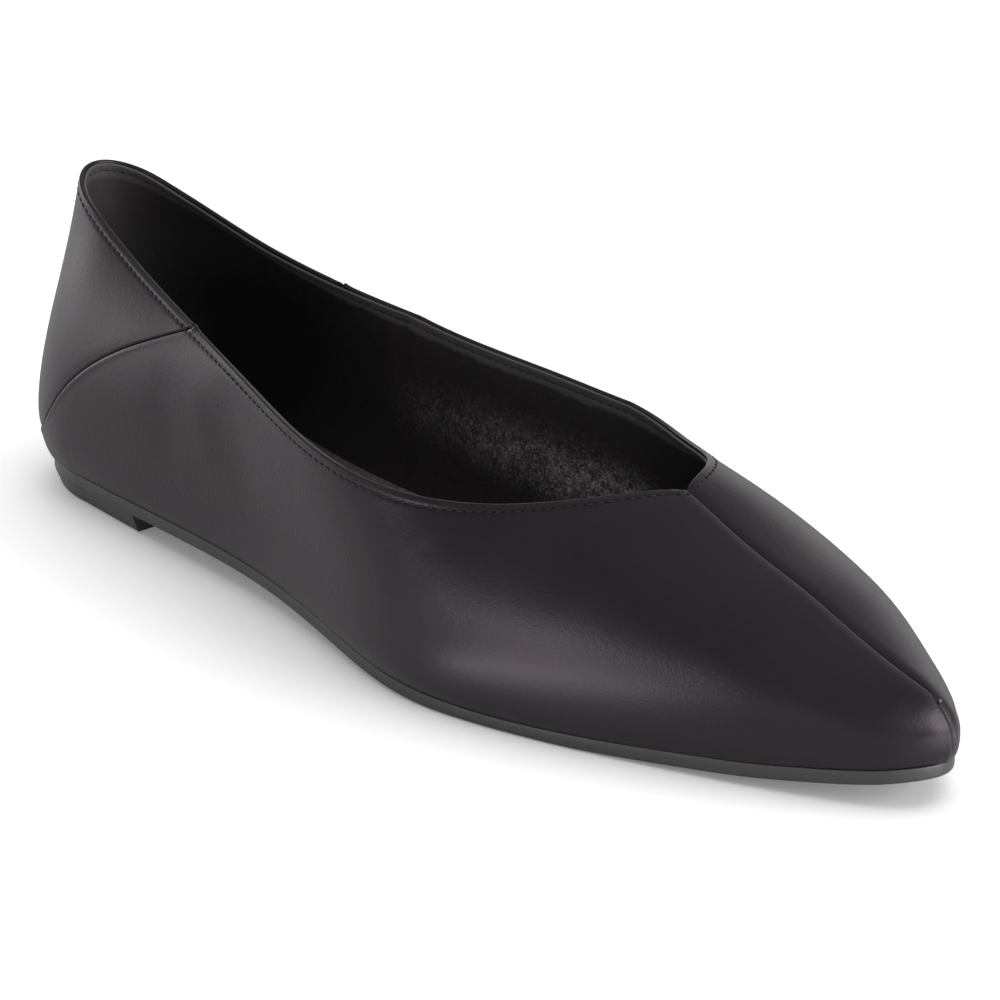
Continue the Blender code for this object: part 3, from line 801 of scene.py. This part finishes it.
def outsoleRows(s):
    tip = fade(s["x"] + s["along"] * s["feather"] - sole["tipFrom"], sole["tipFade"])
    edge = s["feather"] + sole["edge"] * s["slant"] * (1 - sole["tipEdge"] * tip)
    rt = sole["topRound"]
    rb = sole["square"] + (sole["round"] - sole["square"]) * fade(s["x"] - heel["breast"], sole["squareFade"])
    over = np.minimum(sole["edge"] * s["slant"] / s["bulge"], 0.9)
    most = sole["lip"] * (1 - sole["tipLip"] * tip)
    lip = np.clip(s["rise"] * (1 - np.sqrt(1 - over ** 2)) - 0.02, 0, most)
    rows = [(edge * share, soleBottom(s, edge * share)) for share in (0, 0.4, 0.75, 0.9)]
    for degrees in (0, 22, 45, 68, 90):
        a = math.radians(degrees)
        inset = rb * s["slant"] * (1 - math.sin(a))
        rows.append((edge - inset, soleBottom(s, edge) + rb * (1 - math.cos(a))))
    for share in (0.4, 0.65):
        rows.append((edge, soleBottom(s, edge) + share * (soleTop(s, edge) - soleBottom(s, edge))))
    for degrees in (0, 30, 60, 90):
        a = math.radians(degrees)
        inset = rt * s["slant"] * (1 - math.cos(a))
        rows.append((edge - inset, soleTop(s, edge) + lip - rt * (1 - math.sin(a))))
    rows.append((s["feather"], soleTop(s, s["feather"])))
    rows += [(edge * share, soleTop(s, edge * share)) for share in (0.9, 0.5, 0)]
    return rows


def heelRows(s):
    seat = s["feather"] + sole["edge"] * s["slant"]
    foot = ovalRadius(heelX - heel["back"], heel["halfWidth"], s["along"], np.abs(s["across"]))
    top = soleBottom(s, seat) - heel["seam"]
    r = heel["round"]
    rows = [(foot * share, 0.0) for share in (0, 0.5, 0.85)]
    for degrees in (0, 22, 45, 68, 90):
        a = math.radians(degrees)
        rows.append((foot - r + r * math.sin(a), r * (1 - math.cos(a))))
    for share in (0.3, 0.6, 0.9, 1.0):
        rows.append((foot + (seat - foot) * share, r + (top - r) * share))
    rows += [(seat * share, soleBottom(s, seat * share) - heel["seam"]) for share in (0.97, 0.6, 0)]
    return rows


def insoleRows(s):
    edge = s["feather"] - insole["inset"] * s["slant"]
    top = insole["under"] + insole["thickness"]
    r = insole["round"]

    def ground(radius):
        return featherAt(s["x"] + s["along"] * radius)

    rows = [(edge * share, ground(edge * share) + insole["under"]) for share in (0, 0.5, 0.98)]
    rows.append((edge, ground(edge) + insole["under"] + 0.3))
    for degrees in (0, 22, 45, 68, 90):
        a = math.radians(degrees)
        rows.append((edge - r * (1 - math.cos(a)), ground(edge) + top - r * (1 - math.sin(a))))
    for share in (0.92, 0.82, 0.7, 0.55, 0.4, 0.25, 0.1, 0.0):
        rows.append((edge * share, ground(edge * share) + top + insole["crown"] * (1 - share ** 2)))
    return rows


def makeSole(material):
    stations = sideStations(sole["toeAngles"], 180, bodyStep=sole["bodyStep"], heelSteps=40)
    points = ringPoints(stations, outsoleRows)
    under = np.zeros(points.shape[:2])
    under[:, :4] = 1
    piece = placeGrid("outsoleRubber", points, {"tread": under})
    return finishPiece(piece, material, "outsole", smooth=35)


def makeHeel(material):
    x, angle = sideStations((), 180, bodyStep=1.5, heelSteps=40, firstX=heel["breast"] - 0.4)
    x, angle = np.concatenate([[heel["breast"]], x]), np.concatenate([[math.pi / 2], angle])
    points = ringPoints((x, angle), heelRows)
    under = np.zeros(points.shape[:2])
    under[:, :3] = 1
    piece = placeGrid("heelBlock", points, {"tread": under})
    deselect()
    piece.select_set(True)
    bpy.context.view_layer.objects.active = piece
    bpy.ops.object.mode_set(mode="EDIT")
    bpy.ops.mesh.select_all(action="DESELECT")
    bpy.ops.mesh.select_non_manifold()
    bpy.ops.mesh.edge_face_add()
    bpy.ops.mesh.select_all(action="SELECT")
    bpy.ops.mesh.normals_make_consistent(inside=False)
    bpy.ops.object.mode_set(mode="OBJECT")
    return finishPiece(piece, material, "heel", smooth=35)


def makeInsole(material):
    stations = sideStations(lining["toeAngles"], 180, bodyStep=2.0, heelSteps=30)
    piece = placeGrid("insoleSock", ringPoints(stations, insoleRows))
    return finishPiece(piece, material, "insole")


# materials

class Wire:
    def __init__(self, tree, socket=None):
        self.tree, self.socket = tree, socket

    def make(self, kind, settings=None, sockets=None, out=0):
        node = self.tree.nodes.new(kind)
        for key, value in (settings or {}).items():
            setattr(node, key, value)
        for key, value in (sockets or {}).items():
            if isinstance(value, Wire):
                self.tree.links.new(value.socket, node.inputs[key])
            else:
                node.inputs[key].default_value = value
        return Wire(self.tree, node.outputs[out])

    def maths(self, operation, a, b=0.0):
        return self.make("ShaderNodeMath", {"operation": operation}, {0: a, 1: b})

    def bell(self, centre, width):      # one at the centre, falling off on both sides
        off = (self - centre) / width
        return self.maths("EXPONENT", off * off * -1.0)

    def ramp(self, low, high):          # nought below low, one above high
        return self.make("ShaderNodeMapRange", {"interpolation_type": "SMOOTHSTEP"},
                         {"Value": self, "From Min": low, "From Max": high})

    def mix(self, a, b):                # colours, by this wire's value
        return self.make("ShaderNodeMix", {"data_type": "RGBA"}, {0: self, 6: a, 7: b}, 2)

    def __add__(self, other): return self.maths("ADD", self, other)
    def __radd__(self, other): return self.maths("ADD", other, self)
    def __sub__(self, other): return self.maths("SUBTRACT", self, other)
    def __rsub__(self, other): return self.maths("SUBTRACT", other, self)
    def __mul__(self, other): return self.maths("MULTIPLY", self, other)
    def __rmul__(self, other): return self.maths("MULTIPLY", other, self)
    def __truediv__(self, other): return self.maths("DIVIDE", self, other)
    def __rtruediv__(self, other): return self.maths("DIVIDE", other, self)


def newMaterial(name):
    material = bpy.data.materials.new(name)
    material.use_nodes = True
    shader = material.node_tree.nodes["Principled BSDF"]
    return material, shader, Wire(material.node_tree)


def feed(wire, shader, socket):
    wire.tree.links.new(wire.socket, shader.inputs[socket])


def feedBump(w, shader, strength, depth, height):
    sockets = {"Strength": strength, "Distance": depth, "Height": height}
    feed(w.make("ShaderNodeBump", None, sockets), shader, "Normal")


def noise(w, place, scale, detail=3.0, roughness=0.55):
    return w.make("ShaderNodeTexNoise", None,
                  {"Vector": place, "Scale": scale, "Detail": detail, "Roughness": roughness})


def stitchHoles(w):                     # pits where the thread goes through, along the edge row
    gap = w.make("ShaderNodeAttribute", {"attribute_name": "edgeGap"}, out="Fac")
    run = w.make("ShaderNodeAttribute", {"attribute_name": "edgeRun"}, out="Fac")
    beat = 0.5 + 0.5 * w.maths("COSINE", run * (2 * math.pi / leather["stitchPitch"]))
    return gap.bell(leather["stitchDrop"], 0.32) * beat.ramp(0.45, 0.95), gap


leatherLook = {
    "dark": (0.0084, 0.0061, 0.0080, 1),
    "light": (0.0148, 0.0113, 0.0142, 1),
    # painted shade colour for the seam grooves, the stitch holes and the band beside the centre seam
    "groove": (0.0012, 0.0008, 0.0011, 1),
    # painted highlight colour along the raised seam edges
    "paintedRimHighlight": (0.0420, 0.0370, 0.0410, 1),
    "roughness": 0.36,
    "specular": 0.19,
    "tint": (1.0, 0.89, 0.98, 1),
    "poreScale": 1900, "grainScale": 900, "cloudScale": 40,
    "grain": 0.09,
}


def leatherMaterial():
    look = leatherLook
    material, shader, w = newMaterial("blackLeather")
    place = w.make("ShaderNodeTexCoord", out="Object")
    pores = w.make("ShaderNodeTexVoronoi", {"feature": "F1"}, {"Vector": place, "Scale": look["poreScale"]})
    grain = noise(w, place, look["grainScale"], 4, 0.6)
    cloud = noise(w, place, look["cloudScale"], 4)
    holes, edgeGap = stitchHoles(w)
    facing = w.make("ShaderNodeLayerWeight", None, {"Blend": 0.5}, "Facing")
    seam = w.make("ShaderNodeAttribute", {"attribute_name": "seamGap"}, out="Fac")
    # painted shade in the seam grooves
    groove = seam.bell(0.0, 0.28)
    # painted highlight along the seam edges and the collar edge
    rim = seam.bell(0.75, 0.35) + edgeGap.bell(0.0, 0.5)
    skin = (cloud * 0.7 + grain * 0.3).mix(look["dark"], look["light"])
    paintedShade = w.make("ShaderNodeAttribute", {"attribute_name": "paintedSeamShade"}, out="Fac")
    lip = w.make("ShaderNodeAttribute", {"attribute_name": "paintedSeamHighlight"}, out="Fac")
    # painted highlights: rims lightened towards the light tone, raised seam edges towards the highlight
    # colour
    paintedRimHighlight = (lip * (0.5 + 0.5 * grain)).mix((rim * 0.35).mix(skin, look["light"]), look["paintedRimHighlight"])
    # painted shade: seam grooves, stitch holes and the band beside the centre seam are darkened towards the
    # shade colour
    dim = w.maths("MAXIMUM", w.maths("MAXIMUM", groove * 0.9, holes), paintedShade * 0.95)
    feed(dim.mix(paintedRimHighlight, look["groove"]), shader, "Base Color")
    matt = look["roughness"] - 0.05 + 0.10 * grain + 0.07 * (cloud - 0.5) - 0.05 * rim
    matt = matt + 0.2 * groove + 0.3 * paintedShade + 0.3 * w.maths("POWER", facing, 5)
    feed(matt, shader, "Roughness")
    height = grain * 0.8 + pores * 0.35 - holes * 2.2
    feedBump(w, shader, look["grain"], 0.0006, height)
    shader.inputs["Specular IOR Level"].default_value = look["specular"]
    shader.inputs["Specular Tint"].default_value = look["tint"]
    return material


liningLook = {
    "dark": (0.012, 0.0095, 0.0107, 1),
    "light": (0.024, 0.0210, 0.0222, 1),
    "dustAndPaintedLight": (0.560, 0.5300, 0.5400, 1),         # painted light with dust: a pale speckled patch low in the forepart where light falls
    "heel": (0.075, 0.0670, 0.0700, 1),         # paler nap high in the heel
    "litPatchHeight": 0.0232, "litPatchFall": 0.13, "litPatchSpread": 0.0056,
    "band": (0.085, 0.0790, 0.0815, 1),         # paler ragged strip along the edge
    "bandWidth": 3.0,
    "speckScale": 1600, "napScale": 420, "patchScale": 60,
    "roughness": 0.65,
    "specular": 0.14,
}


def liningMaterial():
    look = liningLook
    material, shader, w = newMaterial("linedLeather")
    place = w.make("ShaderNodeTexCoord", out="Object")
    speck = noise(w, place, look["speckScale"], 3, 0.7)
    nap = noise(w, place, look["napScale"], 5, 0.65)
    patch = noise(w, place, look["patchScale"], 3)
    holes, edgeGap = stitchHoles(w)
    ragged = edgeGap + (nap - 0.5) * 2.2 + (patch - 0.5) * 2.4
    facing = 1 - ragged.ramp(look["bandWidth"] - 0.5, look["bandWidth"] + 0.7)
    suede = (nap * 0.5 + patch * 0.3 + speck.ramp(0.5, 0.7) * 0.5).mix(look["dark"], look["light"])
    axes = {k: w.make("ShaderNodeSeparateXYZ", None, {0: place}, k) for k in ("X", "Z")}
    # painted light: a pale speckled patch in a band low in the forepart, with dust specks
    level = axes["Z"] + axes["X"] * look["litPatchFall"] + (patch - 0.5) * 0.007
    fore = axes["X"].ramp(-0.060, 0.012) * (1 - axes["X"].ramp(0.008, 0.026))
    litPatchAndDust = level.bell(look["litPatchHeight"], look["litPatchSpread"]) * fore * (0.35 + 0.9 * patch)
    litPatchAndDust = litPatchAndDust * (0.08 + speck.ramp(0.46, 0.68) * 0.65 + nap.ramp(0.4, 0.7) * 0.3)
    suede = w.maths("MINIMUM", litPatchAndDust, 0.9).mix(suede, look["dustAndPaintedLight"])
    seat = (1 - axes["X"].ramp(-0.120, -0.070)) * axes["Z"].ramp(0.030, 0.052)
    suede = (seat * (0.2 + 0.4 * patch)).mix(suede, look["heel"])
    banded = (facing * (0.45 + 0.5 * nap)).mix(suede, look["band"])
    # painted shade in the stitch holes
    feed((holes * 0.25).mix(banded, look["dark"]), shader, "Base Color")
    feed(look["roughness"] + 0.2 * (speck - 0.5) + 0.12 * (patch - 0.5), shader, "Roughness")
    feedBump(w, shader, 0.25, 0.0004, nap + speck * 0.6 - holes * 0.3)
    shader.inputs["Specular IOR Level"].default_value = look["specular"]
    return material


insoleLook = {
    "dark": (0.030, 0.0260, 0.0275, 1),
    "light": (0.260, 0.2440, 0.2480, 1),
    "roughness": 0.46,
    "specular": 0.5,
    "speckScale": 1500, "grainScale": 700, "patchScale": 38,
}


def insoleMaterial():
    look = insoleLook
    material, shader, w = newMaterial("sockLeather")
    place = w.make("ShaderNodeTexCoord", out="Object")
    speck = noise(w, place, look["speckScale"], 2, 0.6)
    grain = noise(w, place, look["grainScale"], 4, 0.65)
    patch = noise(w, place, look["patchScale"], 3)
    # pale specks: dust with painted glints
    dustAndPaintedLight = speck.ramp(0.56, 0.72)
    feed((dustAndPaintedLight * 0.8 * patch + grain * 0.25).mix(look["dark"], look["light"]), shader, "Base Color")
    feed(look["roughness"] + 0.22 * (grain - 0.5) + 0.1 * (patch - 0.5), shader, "Roughness")
    feedBump(w, shader, 0.45, 0.0004, grain + speck)
    shader.inputs["Specular IOR Level"].default_value = look["specular"]
    return material


rubberLook = {
    "dark": (0.013, 0.0118, 0.0130, 1),
    "light": (0.025, 0.0231, 0.0250, 1),
    "roughness": 0.52,
    "specular": 0.45,
    "treadPitch": 0.0026,
    "fineScale": 1300, "smearScale": 130,
}


def rubberMaterial():
    look = rubberLook
    material, shader, w = newMaterial("soleRubber")
    place = w.make("ShaderNodeTexCoord", out="Object")
    fine = noise(w, place, look["fineScale"], 3, 0.65)
    smear = noise(w, place, look["smearScale"], 4, 0.6)
    under = w.make("ShaderNodeAttribute", {"attribute_name": "tread"}, out="Fac").ramp(0.6, 0.95)
    axes = {k: w.make("ShaderNodeSeparateXYZ", None, {0: place}, k) for k in ("X", "Y")}
    turn = 2 * math.pi / look["treadPitch"]
    ribs = w.maths("SINE", (axes["X"] + axes["Y"]) * turn) * w.maths("SINE", (axes["X"] - axes["Y"]) * turn)
    feed((fine * 0.4 + smear * 0.6).mix(look["dark"], look["light"]), shader, "Base Color")
    feed(look["roughness"] + 0.16 * (smear - 0.5) + 0.1 * (fine - 0.5), shader, "Roughness")
    feedBump(w, shader, 0.3, 0.0006, fine * 0.5 + ribs * under)
    shader.inputs["Specular IOR Level"].default_value = look["specular"]
    return material


threadLook = {
    "dark": (0.003, 0.0025, 0.003, 1),
    "light": (0.009, 0.0078, 0.0088, 1),
    "knot": (0.20, 0.19, 0.195, 1),             # cut end of the seam's thread
    "plyScale": 4200,
    "roughness": 0.6,
    "specular": 0.2,
}


def threadMaterial():
    look = threadLook
    material, shader, w = newMaterial("blackThread")
    place = w.make("ShaderNodeTexCoord", out="Object")
    ply = noise(w, place, look["plyScale"], 2, 0.5)
    pale = w.make("ShaderNodeAttribute", {"attribute_name": "pale"}, out="Fac")
    black = ply.mix(look["dark"], look["light"])
    feed((pale * (0.4 + 0.6 * ply)).mix(black, look["knot"]), shader, "Base Color")
    feed(look["roughness"] + 0.2 * (ply - 0.5), shader, "Roughness")
    feedBump(w, shader, 0.4, 0.0001, ply)
    shader.inputs["Specular IOR Level"].default_value = look["specular"]
    return material


blackLeather = leatherMaterial()
linedLeather = liningMaterial()
soleRubber = rubberMaterial()
blackThread = threadMaterial()
makeSidePanel("lateralPanel", lateral, blackLeather)
makeSidePanel("medialPanel", medial, blackLeather)
makeCounter("counterPanel", blackLeather)
makeLining("liningBag", linedLeather)
makeStitches("edgeStitches", blackThread)
makeSole(soleRubber)
makeHeel(soleRubber)
makeInsole(insoleMaterial())
print("pieces made")

# floor, light and camera

studio = {
    "azimuth": 49.13, "elevation": 22.78, "roll": -0.2,
    "distance": 1.50304, "focalPixels": 7218.78, "imageSize": 1000,
    "aim": (131.0, 0.0, 25.0), "slide": (-4.6, -7.1), "shiftY": -0.026,
    "floorTone": 0.9, "zenith": 0.42, "horizon": 0.65,
    "floorGlow": 0.14, "floorRoughness": 0.95, "floorSpecular": 0.1,
    "floorSize": 8, "floorDrop": 0.0002,
    "cards": (                      # place, sizes, radiance: they lie on the floor, facing up
        ((0.052, -0.152, 0.0005), 0.060, 0.19, 6.0),
        ((0.250, 0.016, 0.0005), 0.20, 0.06, 5.0),
    ),
}

# name, direction from the shoe, distance, width, height, radiance, what it reaches
lamps = (
    ("backPanel", (-0.756, 0.654, 0.24), 1.2, 2.2, 0.5, 0.85, "all"),
    ("toeSoftbox", (0.90, 0.11, 0.40), 1.05, 0.75, 0.95, 10.5, "gloss"),
    ("toeSide", (0.80, -0.34, 0.36), 1.05, 0.45, 0.5, 4.0, "gloss"),
    ("toeFill", (0.85, 0.42, 0.32), 1.0, 0.9, 0.5, 4.0, "matt"),
    ("leftPanel", (-0.95, -0.25, 0.10), 1.2, 1.2, 0.40, 3.4, "gloss"),
    ("ballSoftbox", (-0.09, -0.99, 0.12), 0.9, 0.25, 0.26, 11.0, "gloss"),
    ("ceiling", (-0.08, 0.22, 0.97), 1.6, 2.4, 2.4, 1.65, "matt"),
)


def makeCamera():
    a, e, roll = (math.radians(studio[k]) for k in ("azimuth", "elevation", "roll"))
    right = Vector((math.cos(a), math.sin(a), 0))
    up = Vector((-math.sin(a) * math.sin(e), math.cos(a) * math.sin(e), math.cos(e)))
    back = Vector((math.sin(a) * math.cos(e), -math.cos(a) * math.cos(e), math.sin(e)))
    turnedRight = math.cos(roll) * right + math.sin(roll) * up
    turnedUp = math.cos(roll) * up - math.sin(roll) * right
    aim = (Vector(studio["aim"]) - Vector((*last["middle"], 0))) * mm
    slide = turnedRight * studio["slide"][0] * mm + turnedUp * studio["slide"][1] * mm
    place = aim + back * studio["distance"] - slide
    view = bpy.data.cameras.new("camera")
    view.sensor_width = 36
    view.lens = studio["focalPixels"] / studio["imageSize"] * view.sensor_width
    view.shift_y = studio["shiftY"]
    camera = bpy.data.objects.new("camera", view)
    bpy.context.scene.collection.objects.link(camera)
    turn = Matrix((turnedRight, turnedUp, back)).transposed()
    camera.matrix_world = Matrix.Translation(place) @ turn.to_4x4()
    bpy.context.scene.camera = camera


def areaLamp(name, place, width, height, radiance, reach):
    lamp = bpy.data.lights.new(name, "AREA")
    lamp.shape, lamp.size, lamp.size_y = "RECTANGLE", width, height
    lamp.energy = radiance * math.pi * width * height
    holder = bpy.data.objects.new(name, lamp)
    bpy.context.scene.collection.objects.link(holder)
    holder.location = place
    holder.visible_camera = False
    holder.visible_glossy = reach != "matt"
    holder.visible_diffuse = reach != "gloss"
    return holder


def makeLamps():
    for name, way, distance, width, height, radiance, reach in lamps:
        holder = areaLamp(name, Vector(way).normalized() * distance, width, height, radiance, reach)
        holder.rotation_euler = (-Vector(way)).to_track_quat("-Z", "Y").to_euler()
    for card in studio["cards"]:
        areaLamp("card", *card, "gloss").rotation_euler = (math.pi, 0, 0)


def makeFloor():
    deselect()
    bpy.ops.mesh.primitive_plane_add(size=studio["floorSize"])
    floor = bpy.context.object
    floor.name = "studioFloor"
    material, shader, _ = newMaterial("paleFloor")
    shader.inputs["Base Color"].default_value = (*[studio["floorTone"]] * 3, 1)
    shader.inputs["Roughness"].default_value = studio["floorRoughness"]
    shader.inputs["Emission Color"].default_value = (1, 1, 1, 1)
    shader.inputs["Emission Strength"].default_value = studio["floorGlow"]
    shader.inputs["Specular IOR Level"].default_value = studio["floorSpecular"]
    floor.data.materials.append(material)
    floor.location.z = -studio["floorDrop"]


def makeWorld():
    world = bpy.data.worlds.new("studio")
    world.use_nodes = True
    w = Wire(world.node_tree)
    way = w.make("ShaderNodeTexCoord", out="Generated")
    rise = w.make("ShaderNodeSeparateXYZ", None, {0: way}, "Z").ramp(0.0, 0.75)
    sky = rise.mix((*[studio["horizon"]] * 3, 1), (*[studio["zenith"]] * 3, 1))
    w.tree.links.new(sky.socket, world.node_tree.nodes["Background"].inputs["Color"])
    bpy.context.scene.world = world


bpy.context.scene.view_settings.view_transform = "Standard"
makeCamera()
makeFloor()
makeWorld()
makeLamps()
print("studio made")
